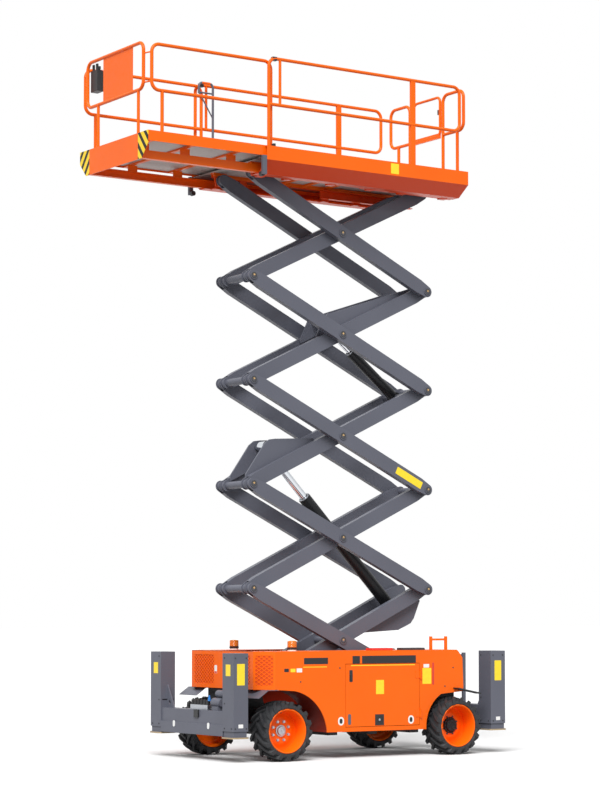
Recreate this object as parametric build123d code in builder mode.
"""Rough-terrain scissor lift with a roll-out extension deck and outriggers.

Millimetres, +X to the front, +Y to the machine's left, +Z up, ground at Z = 0. The origin lies under
the middle of the machine's overall length. Lengths along X are measured from the middle of the
wheelbase, and the planes below carry the step from there to the origin.
"""

import os
from math import asin, cos, hypot, sin

from build123d import *

os.makedirs("parts", exist_ok=True)

# ---- Driving dimensions: running gear --------------------------------------------------------------
wheelbase = 2340
overall_width = 1840
tyre_radius = 330
tyre_width = 305
rim_radius = 210
rim_flange_radius = 232
rim_wall = 8
kingpin_inset = 370  # from the machine's side to the kingpin

# ---- Driving dimensions: chassis -------------------------------------------------------------------
body_width = 1600
body_top = 1195
body_bottom = 297
cover_front = 1240
cover_rear = -1327
cowl_front = 1376
cowl_bottom = 2 * tyre_radius + 116  # clears the tyres
sheet = 4  # thickness of covers, doors and the cowl
well_half_width = 420  # the space between the side boxes, where the folded stack lies
rail_inner = 366  # inner face of a main frame rail
rail_outer = 416
rail_bottom = 400
rail_top = 560
bearer_height = 34

# ---- Driving dimensions: outriggers ----------------------------------------------------------------
outrigger_front = 1757  # centre line of the front beam
outrigger_rear = -1771
sleeve_length = 185
sleeve_rear_length = 212
sleeve_inner = 655
sleeve_outer = 880
sleeve_top = 1180
sleeve_bottom = 340
sleeve_wall = 10
leg_clearance = 0.5
foot_bottom = 262
foot_thickness = 18
foot_margin = 15  # overhang of a foot pad past its sleeve
beam_bottom = 283
beam_inset = 14  # how far the beam's faces lie inside its sleeves' faces
beam_top = 552
gusset_half = 8
tie_down_inset = 50
tie_down_height = 60
tie_down_radius = 22

# ---- Driving dimensions: scissor stack -------------------------------------------------------------
stages = 5
arm_length = 2685.0  # pin to pin
arm_depth = 160
arm_width = 76
arm_wall = 10
inner_arm_y = 222
outer_arm_y = 310
base_pin_x = 1256
base_pin_z = 724
stage_height = 1164.2
pin_radius = 30
pin_clearance = 0.3
pin_head_radius = 46
pin_head = 10
boss_radius = 52
tube_radius = 42
roller_radius = 42
track_gap = 1.5

# ---- Driving dimensions: platform ------------------------------------------------------------------
deck_front = 1373
deck_rear = -1426
deck_half_width = 800
deck_sheet = 5
extension_half_width = 757
extension_front = 2860
extension_back = 1060
extension_plate = 10
rail_tube = 19  # radius of the guard rail tube
rail_top_height = 1092  # above the deck
rail_mid_height = 578

lean = asin(stage_height / arm_length)
arm_run = arm_length * cos(lean)
top_pin_z = base_pin_z + stages * stage_height
rear_pin_x = base_pin_x - arm_run
axle_x = wheelbase / 2
wheel_y = overall_width / 2 - tyre_width / 2
kingpin_y = overall_width / 2 - kingpin_inset
rear_end = outrigger_rear - sleeve_rear_length / 2 - foot_margin
mid = -(extension_front + rear_end) / 2  # from the origin to the middle of the wheelbase

deck_floor = top_pin_z + 94  # underside of the fixed floor, just above the folded arms
floor_sheet = 5
SIDES = {"left": 1, "right": -1}


# ---- Planes and the shapes used again and again ----------------------------------------------------
def plan(z):
    """Horizontal plane: sketch in (x, y)."""
    return Plane(origin=(mid, 0, z), x_dir=(1, 0, 0), z_dir=(0, 0, 1))


def side(y):
    """Plane seen from the machine's right: sketch in (x, z), extrudes towards -Y."""
    return Plane(origin=(mid, y, 0), x_dir=(1, 0, 0), z_dir=(0, -1, 0))


def cross(x):
    """Plane across the machine: sketch in (y, z), extrudes towards the front."""
    return Plane(origin=(mid + x, 0, 0), x_dir=(0, 1, 0), z_dir=(1, 0, 0))


def block(x, y, z, mode=Mode.ADD):
    """Box between two values on each axis, in either order."""
    with BuildSketch(plan(min(z))) as base:
        with Locations(((x[0] + x[1]) / 2, (y[0] + y[1]) / 2)):
            Rectangle(abs(x[1] - x[0]), abs(y[1] - y[0]))
    extrude(base.sketch, amount=max(z) - min(z), mode=mode)


def panel(outline, y, mode=Mode.ADD):
    """Flat plate of a side outline (x, z), between two y values."""
    with BuildSketch(side(max(y))) as face:
        with BuildLine():
            Polyline(*outline, close=True)
        make_face()
    extrude(face.sketch, amount=max(y) - min(y), mode=mode)


def bulkhead(outline, x, mode=Mode.ADD):
    """Flat plate of a cross outline (y, z), between two x values."""
    with BuildSketch(cross(min(x))) as face:
        with BuildLine():
            Polyline(*outline, close=True)
        make_face()
    extrude(face.sketch, amount=max(x) - min(x), mode=mode)


def bar(start, end, radius, mode=Mode.ADD):
    """Round bar between two points (x, y, z)."""
    ends = [Vector(mid + p[0], p[1], p[2]) for p in (start, end)]
    along = ends[1] - ends[0]
    with BuildSketch(Plane(origin=ends[0], z_dir=along.normalized())) as section:
        Circle(radius)
    extrude(section.sketch, amount=along.length, mode=mode)


def axle_bar(x, z, y, radius, mode=Mode.ADD):
    """Round bar across the machine between two y values."""
    bar((x, min(y), z), (x, max(y), z), radius, mode)


def bent_tube(points, radius, bend, closed=False):
    """Round tube that follows straight runs joined by arcs of radius bend."""
    path_points = [Vector(mid + x, y, z) for x, y, z in points]
    with BuildLine() as path:
        FilletPolyline(*path_points, radius=bend, close=closed)
    start = path.line ^ 0
    with BuildSketch(start) as section:
        Circle(radius)
    sweep(section.sketch, path=path.line)


# ---- Main frame ------------------------------------------------------------------------------------
frame_front = outrigger_front - sleeve_length / 2 + beam_inset
frame_rear = outrigger_rear + sleeve_rear_length / 2 - beam_inset
track_half = roller_radius + track_gap
track_flange = 8
track_web = 6
track_outer = well_half_width - 2
folded_rear_x = base_pin_x - arm_length
track_front = -170
track_rear = folded_rear_x - roller_radius - 12
BEARERS = (-640, -60, 480)

with BuildPart() as chassis_frame:
    for hand in SIDES.values():
        block((frame_rear, frame_front), (hand * rail_inner, hand * rail_outer), (rail_bottom, rail_top))
        # track in which the lowest rear rollers run
        web = (hand * (track_outer - track_web), hand * track_outer)
        shelf = (hand * rail_inner, hand * track_outer)
        low, high = base_pin_z - track_half, base_pin_z + track_half
        block((track_rear, track_front), web, (rail_top, high + track_flange))
        block((track_rear, track_front), shelf, (low - track_flange, low))
        block((track_rear, track_front), shelf, (high, high + track_flange))
        # lug of the fixed front pin
        lug = [
            (base_pin_x - 130, rail_top),
            (base_pin_x - 60, base_pin_z + 66),
            (base_pin_x + 60, base_pin_z + 66),
            (base_pin_x + 84, rail_top),
        ]
        panel(lug, (hand * rail_inner, hand * (rail_inner + 24)))
        # posts down to the bearers of the side boxes
        for x in BEARERS:
            block((x - 50, x + 50), (hand * rail_inner, hand * rail_outer), (body_bottom - 1, rail_bottom))
    for x in BEARERS:
        reach = body_width / 2 - 30
        top = body_bottom - 0.3
        block((x - 60, x + 60), (-reach, reach), (top - bearer_height, top))
    for x in (frame_rear + 40, -axle_x, -520, 520, axle_x, frame_front - 40):
        block((x - 40, x + 40), (-rail_inner, rail_inner), (rail_bottom, rail_bottom + 110))
    # nose plate below the cowl
    block((cowl_front - 26, cowl_front - 4), (-rail_outer, rail_outer), (rail_top, cowl_bottom + 40))
    for hand in SIDES.values():
        axle_bar(
            base_pin_x,
            base_pin_z,
            (hand * 300, hand * 500),
            pin_radius + pin_clearance,
            Mode.SUBTRACT,
        )
chassis_frame.part.label = "chassis_frame"
export_step(chassis_frame.part, "parts/chassis_frame.step")


# ---- Side boxes and their service doors ------------------------------------------------------------
def cover_outline():
    """Side view of a side box: flat top, wheel arches front and rear."""
    tyre_top = 2 * tyre_radius
    front_foot = (axle_x - tyre_radius - 264, body_bottom + 20)
    rear_foot = (-axle_x + tyre_radius + 47, body_bottom + 20)
    front_arch_end = (axle_x - 160, tyre_top + 100)
    rear_arch_end = (-axle_x + 162, tyre_top + 33)
    tail = [
        (cover_front, body_top),
        (cover_rear + 91, body_top),
        (cover_rear + 57, body_top - 33),
        (cover_rear + 13, body_top - 92),
        (cover_rear, tyre_top + 118),
    ]
    with BuildLine() as edge:
        RadiusArc(front_foot, front_arch_end, tyre_radius + 190)
        Polyline(front_arch_end, (cover_front, cowl_bottom), (cover_front, body_top))
        Polyline(*tail)
        Polyline(tail[-1], (cover_rear + 6, tyre_top + 58), rear_arch_end)
        RadiusArc(rear_arch_end, rear_foot, tyre_radius + 90)
        Polyline(rear_foot, (rear_foot[0], body_bottom), (front_foot[0], body_bottom), front_foot)
    return edge.line


door_front = 330
door_rear = -700
door_bottom = 345
door_top = 1050
door_gap = 5
door_lip = 24
hinge_radius = 9
hinge_pin = 5
hinge_x = door_rear - 8
hinge_y = body_width / 2 + hinge_radius + 1
HINGE_HEIGHTS = (480, 920)
hinge_half = 40
box_outer = body_width / 2

for name, hand in SIDES.items():
    with BuildPart() as side_cover:
        with BuildSketch(side(hand * (box_outer + well_half_width) / 2)):
            with BuildLine():
                add(cover_outline())
            make_face()
        extrude(amount=(box_outer - well_half_width) / 2, both=True)
        with BuildSketch(side(hand * (box_outer + well_half_width) / 2)):
            with BuildLine():
                add(cover_outline())
            make_face()
            offset(amount=-sheet, mode=Mode.REPLACE)
        extrude(amount=(box_outer - well_half_width) / 2 - sheet, both=True, mode=Mode.SUBTRACT)
        opening_y = (hand * (box_outer - 2 * sheet), hand * (box_outer + sheet))
        block((door_rear, door_front), opening_y, (door_bottom, door_top), Mode.SUBTRACT)
        for z in HINGE_HEIGHTS:
            for end in (-1, 1):
                ear = (z + end * (hinge_half + 1), z + end * (hinge_half + 13))
                block((hinge_x - 9, hinge_x + 5), (hand * box_outer, hand * (hinge_y + 6)), ear)
            bar(
                (hinge_x, hand * hinge_y, z - hinge_half - 13),
                (hinge_x, hand * hinge_y, z + hinge_half + 13),
                hinge_pin,
            )
    side_cover.part.label = f"{name}_side_cover"
    export_step(side_cover.part, f"parts/{name}_side_cover.step")

    with BuildPart() as service_door:
        x = (door_rear + door_gap, door_front - door_gap)
        z = (door_bottom + door_gap, door_top - door_gap)
        block(x, (hand * (box_outer - door_lip), hand * box_outer), z)
        inner_x = (x[0] + sheet, x[1] - sheet)
        inner_z = (z[0] + sheet, z[1] - sheet)
        block(inner_x, (hand * (box_outer - door_lip), hand * (box_outer - sheet)), inner_z, Mode.SUBTRACT)
        for height in HINGE_HEIGHTS:
            low, high = height - hinge_half, height + hinge_half
            leaf_y = (hand * (box_outer + 0.5), hand * (box_outer + 4.5))
            block((hinge_x, door_rear + 60), leaf_y, (low, high))
            block(
                (door_rear + 10, door_rear + 60),
                (hand * box_outer, hand * (box_outer + 4.5)),
                (low, high),
            )
            bar((hinge_x, hand * hinge_y, low), (hinge_x, hand * hinge_y, high), hinge_radius)
            bar(
                (hinge_x, hand * hinge_y, low),
                (hinge_x, hand * hinge_y, high),
                hinge_pin + pin_clearance,
                Mode.SUBTRACT,
            )
    service_door.part.label = f"{name}_service_door"
    export_step(service_door.part, f"parts/{name}_service_door.step")

# ---- Front cowl with its vents ---------------------------------------------------------------------
vent_inner = 350
vent_outer = 735
vent_bottom = 800
vent_top = 1130
cowl_back = cover_front + 0.3
with BuildPart() as front_cowl:
    for hand in SIDES.values():
        block((cowl_back, cowl_front), (hand * well_half_width, hand * box_outer), (cowl_bottom, body_top))
    block((cowl_front - sheet, cowl_front), (-well_half_width, well_half_width), (cowl_bottom, body_top))
    for hand in SIDES.values():
        hollow_y = (hand * (well_half_width + sheet), hand * (box_outer - sheet))
        hollow_z = (cowl_bottom + sheet, body_top - sheet)
        block((cowl_back - 1, cowl_front - sheet), hollow_y, hollow_z, Mode.SUBTRACT)
        vent_y = (hand * (well_half_width + 20), hand * vent_outer)
        block((cowl_front - 2 * sheet, cowl_front + 1), vent_y, (vent_bottom, vent_top), Mode.SUBTRACT)
        side_vent_y = (hand * (box_outer - 2 * sheet), hand * (box_outer + 1))
        block((cowl_back + 22, cowl_front - 22), side_vent_y, (vent_bottom, vent_top), Mode.SUBTRACT)
front_cowl.part.label = "front_cowl"
export_step(front_cowl.part, "parts/front_cowl.step")

# Perforated panels behind the vents, front and side on each hand, joined at the corner
mesh_sheet = 3
mesh_gap = 0.3
with BuildPart() as vent_mesh:
    for hand in SIDES.values():
        front_x = cowl_front - sheet - mesh_gap
        side_y = box_outer - sheet - mesh_gap
        corner_y = (hand * (well_half_width + sheet + mesh_gap), hand * side_y)
        mesh_z = (vent_bottom - 15, vent_top + 15)
        block((front_x - mesh_sheet, front_x), corner_y, mesh_z)
        block((cowl_back + 8, front_x), (hand * (side_y - mesh_sheet), hand * side_y), mesh_z)
vent_mesh.part.label = "vent_mesh"
export_step(vent_mesh.part, "parts/vent_mesh.step")

# ---- Engine ----------------------------------------------------------------------------------------
with BuildPart() as engine:
    engine_y = (-(well_half_width + sheet + 30), -(box_outer - 60))
    block((-650, -80), engine_y, (body_bottom + sheet + 0.3, 900))
engine.part.label = "engine"
export_step(engine.part, "parts/engine.step")

# ---- Mudguards, beacons, hand hoop and entry ladder ------------------------------------------------
guard_outer = overall_width / 2 - 10
with BuildPart() as mudguards:
    for hand in SIDES.values():
        guard_z = cowl_bottom - 0.3
        front_guard = [(1242, guard_z), (1376, guard_z), (1550, guard_z - 85.7)]
        front_guard += [(1550, guard_z - 93.7), (1374, guard_z - 8), (1242, guard_z - 8)]
        panel(front_guard, (hand * 560, hand * guard_outer))
        rear_guard = [(-1180, 762), (-1505, 712), (-1505, 704), (-1180, 754)]
        panel(rear_guard, (hand * (box_outer + 0.3), hand * guard_outer))
mudguards.part.label = "mudguards"
export_step(mudguards.part, "parts/mudguards.step")

with BuildPart() as beacons:
    for hand in SIDES.values():
        with BuildSketch(plan(body_top + 0.3)):
            with Locations((910, hand * 600)):
                Circle(55)
        extrude(amount=24)
        with BuildSketch(plan(body_top + 24)):
            with Locations((910, hand * 600)):
                Circle(44)
        extrude(amount=52, taper=8)
beacons.part.label = "beacons"
export_step(beacons.part, "parts/beacons.step")

with BuildPart() as hand_hoop:
    foot_z = body_top + 0.3
    hoop = [
        (-1010, 600, foot_z),
        (-1010, 600, foot_z + 140),
        (-1226, 600, foot_z + 140),
        (-1226, 600, foot_z),
    ]
    bent_tube(hoop, 12, 50)
hand_hoop.part.label = "hand_hoop"
export_step(hand_hoop.part, "parts/hand_hoop.step")

ladder_half = 220
with BuildPart() as entry_ladder:
    for hand in SIDES.values():
        stile = (hand * ladder_half, hand * (ladder_half + 30))
        block((outrigger_rear - 20, outrigger_rear + 20), stile, (beam_top, 1150))
    for z in (740, 920, 1100):
        block((outrigger_rear - 16, outrigger_rear + 16), (-ladder_half, ladder_half), (z, z + 30))
entry_ladder.part.label = "entry_ladder"
export_step(entry_ladder.part, "parts/entry_ladder.step")

# ---- Axles, knuckles and wheels --------------------------------------------------------------------
axle_half = 55
yoke_gap = 78  # half of the height between the yoke's ears
ear_thickness = 22
kingpin_radius = 22
front_axle_reach = kingpin_y - 70
with BuildPart() as front_axle:
    block(
        (axle_x - axle_half, axle_x + axle_half),
        (-front_axle_reach, front_axle_reach),
        (tyre_radius - axle_half, rail_bottom - 0.3),
    )
    for hand in SIDES.values():
        block(
            (axle_x - 50, axle_x + 50),
            (hand * (front_axle_reach - 30), hand * front_axle_reach),
            (tyre_radius - yoke_gap - ear_thickness, tyre_radius + yoke_gap + ear_thickness),
        )
        for end in (-1, 1):
            low = tyre_radius + end * yoke_gap
            ear_z = (low, low + end * ear_thickness)
            with BuildSketch(plan(min(ear_z))) as ear:
                with Locations((axle_x, hand * kingpin_y)):
                    Circle(42)
                with Locations((axle_x, hand * (kingpin_y - 40))):
                    Rectangle(84, 80)
            extrude(ear.sketch, amount=ear_thickness)
        bar(
            (axle_x, hand * kingpin_y, tyre_radius - yoke_gap - ear_thickness - 8),
            (axle_x, hand * kingpin_y, tyre_radius + yoke_gap + ear_thickness + 8),
            kingpin_radius,
        )
front_axle.part.label = "front_axle"
export_step(front_axle.part, "parts/front_axle.step")

front_disc_offset = 62  # the front disc lies outside the wheel's middle
rear_disc_offset = -25
hub_depth = 45  # from the disc's outer face in to the hub's seat
seat_gap = 0.3
spindle_radius = 35
spindle_end = wheel_y + front_disc_offset - hub_depth - seat_gap
for name, hand in SIDES.items():
    with BuildPart() as knuckle:
        half = yoke_gap - 2
        bar(
            (axle_x, hand * kingpin_y, tyre_radius - half),
            (axle_x, hand * kingpin_y, tyre_radius + half),
            38,
        )
        axle_bar(axle_x, tyre_radius, (hand * kingpin_y, hand * spindle_end), spindle_radius)
        axle_bar(axle_x, tyre_radius, (hand * (kingpin_y + 60), hand * (kingpin_y + 84)), 95)
        bar(
            (axle_x, hand * kingpin_y, tyre_radius - half - 1),
            (axle_x, hand * kingpin_y, tyre_radius + half + 1),
            kingpin_radius + pin_clearance,
            Mode.SUBTRACT,
        )
    knuckle.part.label = f"{name}_knuckle"
    export_step(knuckle.part, f"parts/{name}_knuckle.step")

disc = 14
with BuildPart() as rear_axle:
    block(
        (-axle_x - axle_half, -axle_x + axle_half),
        (-(wheel_y - 130), wheel_y - 130),
        (tyre_radius - axle_half, rail_bottom - 0.3),
    )
    for hand in SIDES.values():
        hub_face = wheel_y + rear_disc_offset - disc - seat_gap
        axle_bar(-axle_x, tyre_radius, (hand * (wheel_y - 135), hand * (hub_face - 20)), 130)
        axle_bar(-axle_x, tyre_radius, (hand * (hub_face - 20), hand * hub_face), 80)
rear_axle.part.label = "rear_axle"
export_step(rear_axle.part, "parts/rear_axle.step")

# place, x, hand, how far the disc lies outside the wheel's middle
WHEELS = (
    ("front_left", axle_x, 1, front_disc_offset),
    ("front_right", axle_x, -1, front_disc_offset),
    ("rear_left", -axle_x, 1, rear_disc_offset),
    ("rear_right", -axle_x, -1, rear_disc_offset),
)
half_tyre = tyre_width / 2
for place, x, hand, offset_out in WHEELS:
    # the profile is drawn with x as the radius and y outwards, then revolved about the axle
    profile_plane = Plane(
        origin=(mid + x, hand * wheel_y, tyre_radius), x_dir=(1, 0, 0), z_dir=(0, 0, hand)
    )
    spin = Axis((mid + x, hand * wheel_y, tyre_radius), (0, 1, 0))
    with BuildPart() as tyre:
        with BuildSketch(profile_plane):
            with BuildLine():
                bead = rim_radius + pin_clearance
                Polyline((bead, -118), (bead, 118), (238, 132), (262, half_tyre - 6))
                Polyline((262, half_tyre - 6), (296, half_tyre), (tyre_radius - 8, half_tyre - 12))
                Polyline((tyre_radius - 8, half_tyre - 12), (tyre_radius, half_tyre - 34))
                Line((tyre_radius, half_tyre - 34), (tyre_radius, -half_tyre + 34))
                Polyline((tyre_radius, -half_tyre + 34), (tyre_radius - 8, -half_tyre + 12))
                Polyline((tyre_radius - 8, -half_tyre + 12), (296, -half_tyre), (262, -half_tyre + 6))
                Polyline((262, -half_tyre + 6), (238, -132), (bead, -118))
            make_face()
        revolve(axis=spin)
    tyre.part.label = f"{place}_tyre"
    export_step(tyre.part, f"parts/{place}_tyre.step")

    with BuildPart() as rim:
        with BuildSketch(profile_plane):
            lip = 124
            with BuildLine():
                Polyline(
                    (rim_radius - rim_wall, -lip - 8),
                    (rim_radius - rim_wall, lip + 8),
                    (rim_flange_radius, lip + 12),
                    (rim_flange_radius, lip + 6),
                    (rim_radius, lip - 4),
                    (rim_radius, -lip + 4),
                    (rim_flange_radius, -lip - 6),
                    (rim_flange_radius, -lip - 12),
                    close=True,
                )
            make_face()
            with BuildLine():
                Polyline(
                    (spindle_radius + 25, offset_out),
                    (120, offset_out),
                    (170, offset_out - 18),
                    (rim_radius - rim_wall + 2, offset_out - 18),
                    (rim_radius - rim_wall + 2, offset_out - 18 - disc),
                    (165, offset_out - 18 - disc),
                    (115, offset_out - disc),
                    (spindle_radius + 25, offset_out - disc),
                    close=True,
                )
            make_face()
            if offset_out > 0:
                with Locations((30, offset_out + (25 - hub_depth) / 2)):
                    Rectangle(60, 25 + hub_depth)
                with Locations((48, offset_out + 4)):
                    Rectangle(96, 18)
            else:
                with Locations((30, offset_out + (20 - disc) / 2)):
                    Rectangle(60, 20 + disc)
                with Locations((45, offset_out + (14 - disc) / 2)):
                    Rectangle(90, 14 + disc)
        revolve(axis=spin)
    rim.part.label = f"{place}_rim"
    export_step(rim.part, f"parts/{place}_rim.step")

# ---- Outriggers ------------------------------------------------------------------------------------
# end, centre line, length of the sleeve along X, which way the chassis lies
OUTRIGGERS = (
    ("front", outrigger_front, sleeve_length, -1),
    ("rear", outrigger_rear, sleeve_rear_length, 1),
)
leg_gap = sleeve_wall + leg_clearance
for end, x, length, inward in OUTRIGGERS:
    half = length / 2
    with BuildPart() as outrigger_beam:
        block(
            (x - half + beam_inset, x + half - beam_inset),
            (-sleeve_inner, sleeve_inner),
            (beam_bottom, beam_top),
        )
        for hand in SIDES.values():
            outer_y = (hand * sleeve_inner, hand * sleeve_outer)
            block((x - half, x + half), outer_y, (sleeve_bottom, sleeve_top))
            bore_y = (hand * (sleeve_inner + sleeve_wall), hand * (sleeve_outer - sleeve_wall))
            bore_x = (x - half + sleeve_wall, x + half - sleeve_wall)
            block(bore_x, bore_y, (sleeve_bottom - 1, sleeve_top - sleeve_wall), Mode.SUBTRACT)
            gusset = [
                (hand * (sleeve_inner + 1), beam_top),
                (hand * (sleeve_inner - 150), beam_top),
                (hand * (sleeve_inner + 1), beam_top + 260),
            ]
            bulkhead(gusset, (x - gusset_half, x + gusset_half))
            hole_y = hand * (sleeve_inner - tie_down_inset)
            hole_z = beam_top + tie_down_height
            bar((x - 20, hole_y, hole_z), (x + 20, hole_y, hole_z), tie_down_radius, Mode.SUBTRACT)
    outrigger_beam.part.label = f"{end}_outrigger_beam"
    export_step(outrigger_beam.part, f"parts/{end}_outrigger_beam.step")

    for name, hand in SIDES.items():
        with BuildPart() as leg:
            leg_y = (hand * (sleeve_inner + leg_gap), hand * (sleeve_outer - leg_gap))
            leg_x = (x - half + leg_gap, x + half - leg_gap)
            block(leg_x, leg_y, (foot_bottom + foot_thickness, sleeve_top - 30))
            with BuildSketch(plan(foot_bottom)):
                with Locations((x, hand * (sleeve_inner + sleeve_outer) / 2)):
                    RectangleRounded(length + 2 * foot_margin, sleeve_outer - sleeve_inner + 20, 30)
            extrude(amount=foot_thickness)
        leg.part.label = f"{end}_{name}_outrigger_leg"
        export_step(leg.part, f"parts/{end}_{name}_outrigger_leg.step")


# ---- Scissor stack ---------------------------------------------------------------------------------
def inner_plane(stage, y=0.0):
    """Origin at an inner arm's front pin, X along the arm to the rear and up, Y square above it."""
    z = base_pin_z + (stage - 1) * stage_height
    return Plane(origin=(mid + base_pin_x, y, z), x_dir=(-cos(lean), 0, sin(lean)), z_dir=(0, 1, 0))


def outer_plane(stage, y=0.0):
    """Origin at an outer arm's rear pin, X along the arm to the front and up, Y square above it."""
    z = base_pin_z + (stage - 1) * stage_height
    return Plane(origin=(mid + rear_pin_x, y, z), x_dir=(cos(lean), 0, sin(lean)), z_dir=(0, -1, 0))


nose_radius = 64
nose_reach = 130
PINS = (0, arm_length / 2, arm_length)


def arm(plane):
    """Rectangular tube that tapers to rounded ears, with a boss at each pin."""
    with BuildSketch(plane) as shape:
        for end in (0, arm_length):
            with Locations((end, 0)):
                Circle(nose_radius)
        with Locations((arm_length / 2, 0)):
            Rectangle(arm_length - 2 * nose_reach, arm_depth)
        make_hull()
    extrude(shape.sketch, amount=arm_width / 2, both=True)
    with BuildSketch(plane) as hollow:
        with Locations((arm_length / 2, 0)):
            Rectangle(arm_length + 4 * nose_radius, arm_depth - 2 * arm_wall)
    extrude(hollow.sketch, amount=arm_width / 2 - arm_wall, both=True, mode=Mode.SUBTRACT)
    with BuildSketch(plane) as bosses:
        for place in PINS:
            with Locations((place, 0)):
                Circle(boss_radius)
    extrude(bosses.sketch, amount=arm_width / 2, both=True)


def disc_at(plane, place, radius, amount, mode=Mode.ADD, both=True):
    """Round bar square to an arm's plane."""
    with BuildSketch(plane) as circle:
        with Locations(place):
            Circle(radius)
    extrude(circle.sketch, amount=amount, both=both, mode=mode)


def arm_plate(stage, outline, y, mode=Mode.ADD):
    """Plate parallel to an inner arm, drawn in the arm's own plane."""
    with BuildSketch(inner_plane(stage, min(y))) as face:
        with BuildLine():
            Polyline(*outline, close=True)
        make_face()
    extrude(face.sketch, amount=max(y) - min(y), mode=mode)


inner_face = inner_arm_y - arm_width / 2
outer_face = outer_arm_y + arm_width / 2
# cross tubes of each inner frame, by distance from its front pin
CROSS_TUBES = {
    1: (0, arm_length / 2),
    2: (0, arm_length),
    3: (0, arm_length),
    4: (0, arm_length),
    5: (0, arm_length),
}
# cylinder pins in the planes of the inner arms: (along, above)
lower_base = (2393, -236)
lower_eye = (520, 245)
upper_base = (2446, 40)
upper_eye = (1356, 196)
lower_base_stage, lower_eye_stage = 1, 3
upper_base_stage, upper_eye_stage = 3, 4
bracket_inner = 150
bracket_plate = 22
bracket_pin = 32
# stage, outline of the two cheek plates, outline of the pads between plates and arms, pin
BRACKETS = (
    (
        lower_base_stage,
        [(1620, -50), (2208, -292), (2402, -300), (2470, -268), (2640, -120), (2600, -50)],
        [(1700, -76), (2590, -76), (2590, -44), (1700, -44)],
        lower_base,
    ),
    (
        lower_eye_stage,
        [(30, 40), (60, 96), (440, 306), (520, 322), (590, 300), (1070, 100), (1080, 40)],
        [(40, 44), (1070, 44), (1070, 76), (40, 76)],
        lower_eye,
    ),
    (
        upper_eye_stage,
        [(1090, 40), (1120, 92), (1300, 236), (1380, 262), (1460, 244), (2600, 96), (2600, 40)],
        [(1100, 44), (2590, 44), (2590, 76), (1100, 76)],
        upper_eye,
    ),
)

for stage in range(1, stages + 1):
    with BuildPart() as inner_arms:
        for hand in SIDES.values():
            arm(inner_plane(stage, hand * inner_arm_y))
        for hand in SIDES.values():
            reach = outer_face + pin_head
            for place in PINS:
                shaft = (hand * (inner_arm_y - arm_width / 2), hand * reach)
                plane = inner_plane(stage, min(shaft))
                disc_at(plane, (place, 0), pin_radius, reach - inner_face, both=False)
                head = (hand * (outer_face + pin_clearance), hand * reach)
                plane = inner_plane(stage, min(head))
                disc_at(plane, (place, 0), pin_head_radius, pin_head - pin_clearance, both=False)
        for place in CROSS_TUBES[stage]:
            disc_at(inner_plane(stage), (place, 0), tube_radius, inner_face + 2)
        for carrier, cheek, pad, pin in BRACKETS:
            if carrier == stage:
                for hand in SIDES.values():
                    inner, outer = hand * bracket_inner, hand * (bracket_inner + bracket_plate)
                    arm_plate(stage, cheek, (inner, outer))
                    arm_plate(stage, pad, (outer - hand, hand * (inner_face + 1)))
        if stage == lower_base_stage:
            disc_at(inner_plane(stage), lower_base, bracket_pin, bracket_inner + 2)
        if stage == upper_base_stage:
            disc_at(inner_plane(stage), upper_base, bracket_pin, inner_face + 2)
        # the top rear pin runs on to the platform's rollers, the lowest front pin to the frame's lugs
        if stage == stages:
            for hand in SIDES.values():
                roller = (hand * (rail_inner + 6), hand * (track_outer - track_web - 4))
                shaft = (hand * inner_face, roller[1])
                disc_at(
                    inner_plane(stage, min(shaft)),
                    (arm_length, 0),
                    pin_radius,
                    abs(shaft[1] - shaft[0]),
                    both=False,
                )
                disc_at(
                    inner_plane(stage, min(roller)),
                    (arm_length, 0),
                    roller_radius,
                    abs(roller[1] - roller[0]),
                    both=False,
                )
        if stage == 1:
            for hand in SIDES.values():
                shaft = (hand * inner_face, hand * (rail_inner + 24 + 8))
                disc_at(
                    inner_plane(stage, min(shaft)),
                    (0, 0),
                    pin_radius,
                    abs(shaft[1] - shaft[0]),
                    both=False,
                )
    inner_arms.part.label = f"inner_arms_{stage}"
    export_step(inner_arms.part, f"parts/inner_arms_{stage}.step")

    with BuildPart() as outer_arms:
        for hand in SIDES.values():
            arm(outer_plane(stage, hand * outer_arm_y))
        own_shaft = {1: PINS[0], stages: PINS[2]}.get(stage)
        for place in PINS:
            if place != own_shaft:
                hole = pin_radius + pin_clearance
                disc_at(outer_plane(stage), (place, 0), hole, outer_face + 5, Mode.SUBTRACT)
        for hand in SIDES.values():
            if stage == 1:
                roller = (hand * (rail_inner + 6), hand * (track_outer - track_web - 4))
                shaft = (hand * (outer_face - 5), roller[1])
                disc_at(
                    outer_plane(stage, max(shaft)),
                    (0, 0),
                    pin_radius,
                    abs(shaft[1] - shaft[0]),
                    both=False,
                )
                disc_at(
                    outer_plane(stage, max(roller)),
                    (0, 0),
                    roller_radius,
                    abs(roller[1] - roller[0]),
                    both=False,
                )
            if stage == stages:
                shaft = (hand * (outer_face - 5), hand * (rail_inner + 24 + 8))
                disc_at(
                    outer_plane(stage, max(shaft)),
                    (arm_length, 0),
                    pin_radius,
                    abs(shaft[1] - shaft[0]),
                    both=False,
                )
    outer_arms.part.label = f"outer_arms_{stage}"
    export_step(outer_arms.part, f"parts/outer_arms_{stage}.step")


# ---- Lift cylinders --------------------------------------------------------------------------------
def in_stack(stage, place):
    """Point of an inner arm's plane as (x, z) from the middle of the wheelbase."""
    point = inner_plane(stage).from_local_coords(Vector(place[0], place[1], 0))
    return point.X - mid, point.Z


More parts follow.
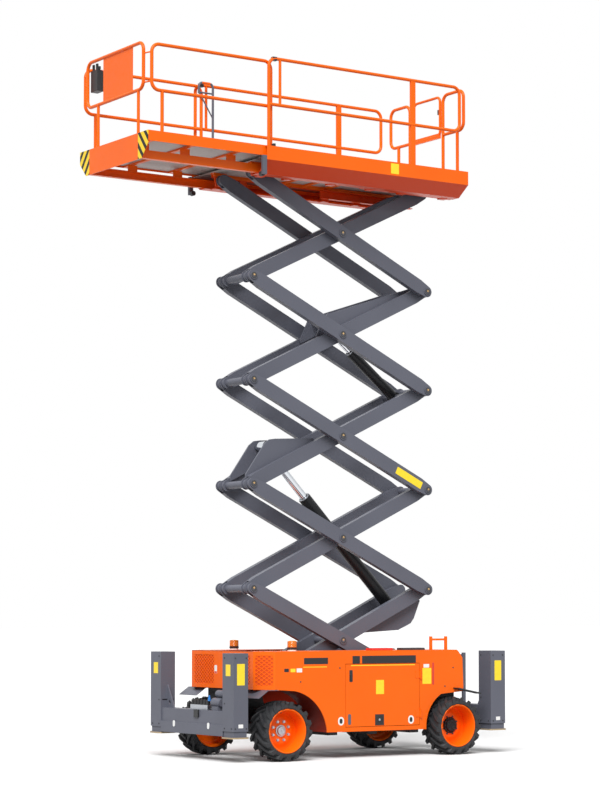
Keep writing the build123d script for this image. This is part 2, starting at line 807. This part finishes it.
# name, base, eye, barrel radius, rod radius, barrel length, rod length, half width of the eyes
CYLINDERS = (
    (
        "lower",
        in_stack(lower_base_stage, lower_base),
        in_stack(lower_eye_stage, lower_eye),
        72,
        45,
        1930,
        1840,
        60,
    ),
    (
        "upper",
        in_stack(upper_base_stage, upper_base),
        in_stack(upper_eye_stage, upper_eye),
        60,
        36,
        800,
        930,
        50,
    ),
)
for name, base, eye, barrel_radius, rod_radius, barrel_length, rod_length, eye_half in CYLINDERS:
    along = Vector(eye[0] - base[0], 0, eye[1] - base[1])
    direction = along.normalized()
    base_plane = Plane(origin=(mid + base[0], 0, base[1]), z_dir=direction)
    eye_plane = Plane(origin=(mid + eye[0], 0, eye[1]), z_dir=direction)
    with BuildPart() as barrel:
        with BuildSketch(base_plane.offset(30)) as section:
            Circle(barrel_radius)
        extrude(section.sketch, amount=barrel_length - 30)
        axle_bar(base[0], base[1], (-eye_half, eye_half), 58)
        with BuildSketch(base_plane.offset(85)) as bore:
            Circle(rod_radius + pin_clearance)
        extrude(bore.sketch, amount=barrel_length, mode=Mode.SUBTRACT)
        axle_bar(
            base[0],
            base[1],
            (-barrel_radius - 1, barrel_radius + 1),
            bracket_pin + pin_clearance,
            Mode.SUBTRACT,
        )
    barrel.part.label = f"{name}_cylinder_barrel"
    export_step(barrel.part, f"parts/{name}_cylinder_barrel.step")

    with BuildPart() as rod:
        with BuildSketch(eye_plane.offset(-rod_length)) as section:
            Circle(rod_radius)
        extrude(section.sketch, amount=rod_length - 30)
        axle_bar(eye[0], eye[1], (-eye_half, eye_half), 56)
        axle_bar(eye[0], eye[1], (-bracket_inner + 6, bracket_inner - 6), bracket_pin)
    rod.part.label = f"{name}_cylinder_rod"
    export_step(rod.part, f"parts/{name}_cylinder_rod.step")

# ---- Fixed deck of the platform --------------------------------------------------------------------
deck_bottom = top_pin_z - 72
side_plate_bottom = top_pin_z + 55
toe_top = top_pin_z + 212
slant_foot = 620
lip_edge = 500
guide_web = 6
guide_outer = 432
slot_inner = 553
slot_outer = 587
beam_outer = 600  # outer face of an extension beam
beam_inner = 540
extension_beam_bottom = deck_bottom + 13
floor_top = deck_floor + floor_sheet


def deck_side(hand):
    """Cross-section of a side plate: upright, folded inwards and ended by a flat lip."""
    t = deck_sheet
    lip_top = deck_bottom + t
    return [
        (hand * deck_half_width, toe_top),
        (hand * deck_half_width, side_plate_bottom),
        (hand * slant_foot, deck_bottom),
        (hand * lip_edge, deck_bottom),
        (hand * lip_edge, lip_top),
        (hand * (slant_foot - 2), lip_top),
        (hand * (deck_half_width - t), side_plate_bottom + 0.5 * t),
        (hand * (deck_half_width - t), toe_top),
    ]


with BuildPart() as main_deck:
    for hand in SIDES.values():
        bulkhead(deck_side(hand), (deck_rear, deck_front))
        flange = (hand * (deck_half_width - 2 * rail_tube), hand * deck_half_width)
        block((deck_rear, deck_front), flange, (toe_top - deck_sheet, toe_top))
        guide_low, guide_high = top_pin_z - track_half, top_pin_z + track_half
        flange_y = (hand * rail_inner, hand * guide_outer)
        web_y = (hand * (guide_outer - guide_web), hand * guide_outer)
        block((track_rear, track_front), web_y, (guide_low - track_flange, guide_high + track_flange))
        block((deck_rear + 5, deck_front - 40), web_y, (guide_high, deck_floor))
        block((track_rear, track_front), flange_y, (guide_low - track_flange, guide_low))
        block((track_rear, track_front), flange_y, (guide_high, guide_high + track_flange))
        # wear pads on which the extension's beams slide
        for x in (950, 1330):
            pad_z = (deck_bottom + deck_sheet, extension_beam_bottom - seat_gap)
            block((x - 40, x + 40), (hand * (beam_inner + 5), hand * (beam_outer - 5)), pad_z)
        # outrigged brackets under the beams of the extension
        for x in (-1300, -700, -250):
            block(
                (x - 45, x + 45),
                (hand * (guide_outer - guide_web), hand * (lip_edge + 6)),
                (deck_bottom - 6, deck_bottom + 4),
            )
            block((x - 45, x + 45), web_y, (deck_bottom - 6, guide_low))
        for x in (300, 900, 1250):
            block(
                (x - 45, x + 45),
                (hand * (guide_outer - guide_web), hand * (lip_edge + 6)),
                (deck_bottom - 6, deck_bottom + 4),
            )
            block((x - 45, x + 45), web_y, (deck_bottom - 6, deck_floor))
        # lug of the fixed front pin
        lug = [
            (base_pin_x - 90, deck_floor),
            (base_pin_x - 50, top_pin_z - 56),
            (base_pin_x + 50, top_pin_z - 56),
            (base_pin_x + 90, deck_floor),
        ]
        panel(lug, (hand * rail_inner, hand * (rail_inner + 24)))
        block(
            (base_pin_x - 90, base_pin_x + 90),
            (hand * (rail_inner + 20), hand * guide_outer),
            (deck_floor - 12, deck_floor),
        )
    # rear plate above the stack, and the toe board
    block(
        (deck_rear, deck_rear + deck_sheet),
        (-deck_half_width, deck_half_width),
        (deck_floor - 4, toe_top),
    )
    rear_flange = (deck_rear, deck_rear + 2 * rail_tube)
    block(rear_flange, (-deck_half_width, deck_half_width), (toe_top - deck_sheet, toe_top))
    # shallow floor bearers, clear of the folded arms
    for x in (-250, 50, 350):
        block((x - 20, x + 20), (-(guide_outer - 1), guide_outer - 1), (deck_floor - 22, deck_floor))
    for hand in SIDES.values():
        axle_bar(base_pin_x, top_pin_z, (hand * 300, hand * 500), pin_radius + pin_clearance, Mode.SUBTRACT)
main_deck.part.label = "main_deck"
export_step(main_deck.part, "parts/main_deck.step")

floor_x = (deck_rear + deck_sheet + 0.3, deck_front - 2)
with BuildPart() as main_floor:
    block(floor_x, (-slot_inner, slot_inner), (deck_floor + 0.3, floor_top))
    for hand in SIDES.values():
        strip = (hand * slot_outer, hand * (deck_half_width - deck_sheet - 0.3))
        block(floor_x, strip, (deck_floor + 0.3, floor_top))
main_floor.part.label = "main_floor"
export_step(main_floor.part, "parts/main_floor.step")

# ---- Guard rails of the fixed deck -----------------------------------------------------------------
rail_y = deck_half_width - rail_tube
top_z = floor_top + rail_top_height
mid_z = floor_top + rail_mid_height
front_post_x = 1339
loop_x = 1192
rail_bend = 90
rail_rear_x = -1314
end_rail_x = deck_rear + rail_tube
gate_low = mid_z + 45
gate_post_left = 345
gate_post_right = -310
hinge_post_gap = 42
gate_hinge_y = gate_post_right + hinge_post_gap
GATE_HINGES = (gate_low + 70, top_z - 60)
with BuildPart() as main_rails:
    for hand, post_x in ((1, -635), (-1, -685)):
        y = hand * rail_y
        bent_tube(
            [
                (front_post_x, y, toe_top),
                (front_post_x, y, top_z),
                (rail_rear_x, y, top_z),
                (rail_rear_x, y, mid_z),
                (front_post_x - 60, y, mid_z),
            ],
            rail_tube,
            rail_bend,
        )
        bar((front_post_x - 60, y, mid_z), (front_post_x, y, mid_z), rail_tube)
        bar((loop_x, y, mid_z), (loop_x, y, top_z), rail_tube - 3)
        block((post_x - 32, post_x + 32), (y - hand * 14, y + hand * 14), (toe_top, top_z))
    # rear corner loops, each with a post down to the deck
    for hand, inner_y, outer_y, post_y in (
        (1, gate_post_left, 740, 620),
        (-1, gate_post_right, -700, -540),
    ):
        bent_tube(
            [
                (end_rail_x, inner_y, toe_top),
                (end_rail_x, inner_y, top_z),
                (end_rail_x, outer_y, top_z),
                (end_rail_x, outer_y, mid_z + 45),
                (end_rail_x, inner_y + hand * 60, mid_z + 45),
            ],
            rail_tube,
            rail_bend,
        )
        bar((end_rail_x, inner_y + hand * 60, mid_z + 45), (end_rail_x, inner_y, mid_z + 45), rail_tube)
        bar((end_rail_x, post_y, toe_top), (end_rail_x, post_y, mid_z + 45), rail_tube)
    for z in GATE_HINGES:
        for end in (-1, 1):
            lug_z = (z + end * 21, z + end * 31)
            block((end_rail_x - 9, end_rail_x + 9), (gate_post_right + 10, gate_hinge_y + 10), lug_z)
        bar((end_rail_x, gate_hinge_y, z - 31), (end_rail_x, gate_hinge_y, z + 31), 7)
main_rails.part.label = "main_rails"
export_step(main_rails.part, "parts/main_rails.step")

gate_left = gate_post_left - rail_tube - 22
gate_right = gate_hinge_y + 22
gate_tube = 16
with BuildPart() as entry_gate:
    bent_tube(
        [
            (end_rail_x, (gate_left + gate_right) / 2, gate_low),
            (end_rail_x, gate_left - gate_tube, gate_low),
            (end_rail_x, gate_left - gate_tube, top_z - 4),
            (end_rail_x, gate_right + gate_tube, top_z - 4),
            (end_rail_x, gate_right + gate_tube, gate_low),
            (end_rail_x, (gate_left + gate_right) / 2 + 1, gate_low),
        ],
        gate_tube,
        60,
    )
    block(
        (end_rail_x - 14, end_rail_x + 14),
        (gate_right + 20, gate_left - 20),
        (gate_low - 30, gate_low + 30),
    )
    for z in GATE_HINGES:
        bar((end_rail_x, gate_hinge_y, z - 20), (end_rail_x, gate_hinge_y, z + 20), 14)
        block((end_rail_x - 6, end_rail_x + 6), (gate_hinge_y + 8, gate_right + 10), (z - 16, z + 16))
        bar(
            (end_rail_x, gate_hinge_y, z - 21),
            (end_rail_x, gate_hinge_y, z + 21),
            7 + pin_clearance,
            Mode.SUBTRACT,
        )
entry_gate.part.label = "entry_gate"
export_step(entry_gate.part, "parts/entry_gate.step")

# ---- Roll-out extension deck -----------------------------------------------------------------------
extension_beam_top = top_pin_z + 33
rib_bottom = floor_top + 6
rib_top = rib_bottom + 20
extension_toe_top = toe_top + 6
beam_back = 900
RIBS = (1110, 1700, 2290, 2800)
with BuildPart() as extension_deck:
    front_x = (extension_front - extension_plate, extension_front)
    front_plate = [
        (extension_half_width, extension_toe_top),
        (extension_half_width, side_plate_bottom + 25),
        (slant_foot, deck_bottom + 6),
        (-slant_foot, deck_bottom + 6),
        (-extension_half_width, side_plate_bottom + 25),
        (-extension_half_width, extension_toe_top),
    ]
    bulkhead(front_plate, front_x)
    front_flange = (extension_front - 2 * rail_tube - 2, extension_front - 1)
    flange_half = extension_half_width - 1
    block(front_flange, (-flange_half, flange_half), (extension_toe_top - deck_sheet, extension_toe_top))
    for hand in SIDES.values():
        toe_y = (hand * (extension_half_width - extension_plate), hand * extension_half_width)
        block((extension_back, front_x[0] + 1), toe_y, (rib_bottom, extension_toe_top))
        flange = (hand * (extension_half_width - 2 * rail_tube), hand * extension_half_width)
        block((extension_back, front_x[0] + 1), flange, (extension_toe_top - deck_sheet, extension_toe_top))
        web = (hand * (beam_outer - 8), hand * beam_outer)
        block((beam_back, front_x[0] + 1), web, (extension_beam_bottom, extension_beam_top))
        for flange in (
            (extension_beam_bottom, extension_beam_bottom + 6),
            (extension_beam_top - 6, extension_beam_top),
        ):
            block((beam_back, front_x[0] + 1), (hand * beam_inner, hand * (beam_outer - 1)), flange)
        for x in RIBS:
            middle = (slot_inner + slot_outer) / 2
            hanger = (hand * (middle - 5), hand * (middle + 5))
            block(
                (x - 60, x + 60 if x < 2700 else front_x[0] + 1),
                hanger,
                (extension_beam_top - 1, rib_bottom + 1),
            )
    for x in RIBS:
        block(
            (x - 20, x + 20),
            (-(extension_half_width - 1), extension_half_width - 1),
            (rib_bottom, rib_top),
        )
extension_deck.part.label = "extension_deck"
export_step(extension_deck.part, "parts/extension_deck.step")

with BuildPart() as extension_floor:
    floor_y = extension_half_width - extension_plate - 0.3
    block(
        (extension_back, extension_front - extension_plate - 0.3),
        (-floor_y, floor_y),
        (rib_top + 0.3, rib_top + 4.3),
    )
extension_floor.part.label = "extension_floor"
export_step(extension_floor.part, "parts/extension_floor.step")

# ---- Guard rails of the extension ------------------------------------------------------------------
extension_rail_y = extension_half_width - rail_tube - 1
extension_rail_front = 2806
extension_rail_back = 1285
extension_post_x = 2676
extension_top_z = top_z - 30
extension_mid_z = mid_z - 14
end_hoop_x = extension_front - rail_tube - 1
end_post_radius = 17  # slimmer than the hoop it carries
end_hoop_half = 620
end_hoop_low = mid_z + 15
end_hoop_high = top_z + 8
with BuildPart() as extension_rails:
    for hand in SIDES.values():
        y = hand * extension_rail_y
        bent_tube(
            [
                (extension_rail_back, y, extension_toe_top),
                (extension_rail_back, y, extension_top_z),
                (extension_rail_front, y, extension_top_z),
                (extension_rail_front, y, extension_mid_z),
                (extension_rail_back + 60, y, extension_mid_z),
            ],
            rail_tube,
            rail_bend,
        )
        bar(
            (extension_rail_back + 60, y, extension_mid_z),
            (extension_rail_back, y, extension_mid_z),
            rail_tube,
        )
        bar((extension_post_x, y, extension_toe_top), (extension_post_x, y, extension_mid_z), rail_tube)
        for z in (extension_top_z - 90, extension_mid_z + 90):
            bar((extension_rail_front, y, z), (end_hoop_x, hand * end_hoop_half, z), 8)
    bent_tube(
        [
            (end_hoop_x, 0, end_hoop_low),
            (end_hoop_x, end_hoop_half, end_hoop_low),
            (end_hoop_x, end_hoop_half, end_hoop_high),
            (end_hoop_x, -end_hoop_half, end_hoop_high),
            (end_hoop_x, -end_hoop_half, end_hoop_low),
            (end_hoop_x, -60, end_hoop_low),
        ],
        rail_tube,
        rail_bend,
    )
    bar((end_hoop_x, -60, end_hoop_low), (end_hoop_x, 0, end_hoop_low), rail_tube)
    for y in (-374, 514):
        bar((end_hoop_x, y, extension_toe_top), (end_hoop_x, y, end_hoop_low), end_post_radius)
    block((end_hoop_x - 3, end_hoop_x + 3), (-260, 390), (end_hoop_low, end_hoop_high))
extension_rails.part.label = "extension_rails"
export_step(extension_rails.part, "parts/extension_rails.step")

with BuildPart() as control_box:
    box_x = (end_hoop_x - rail_tube - 140, end_hoop_x - rail_tube - 0.3)
    block(box_x, (-600, -430), (end_hoop_high - 330, end_hoop_high - 20))
control_box.part.label = "control_box"
export_step(control_box.part, "parts/control_box.step")

with BuildPart() as push_handle:
    pole_y = -(extension_rail_y - rail_tube - 19)
    pole_x = 1150
    bent_tube(
        [
            (pole_x, pole_y, rib_top + 4.6),
            (pole_x, pole_y, top_z + 10),
            (pole_x + 190, pole_y, top_z + 10),
            (pole_x + 190, pole_y, top_z - 120),
        ],
        14,
        50,
    )
push_handle.part.label = "push_handle"
export_step(push_handle.part, "parts/push_handle.step")
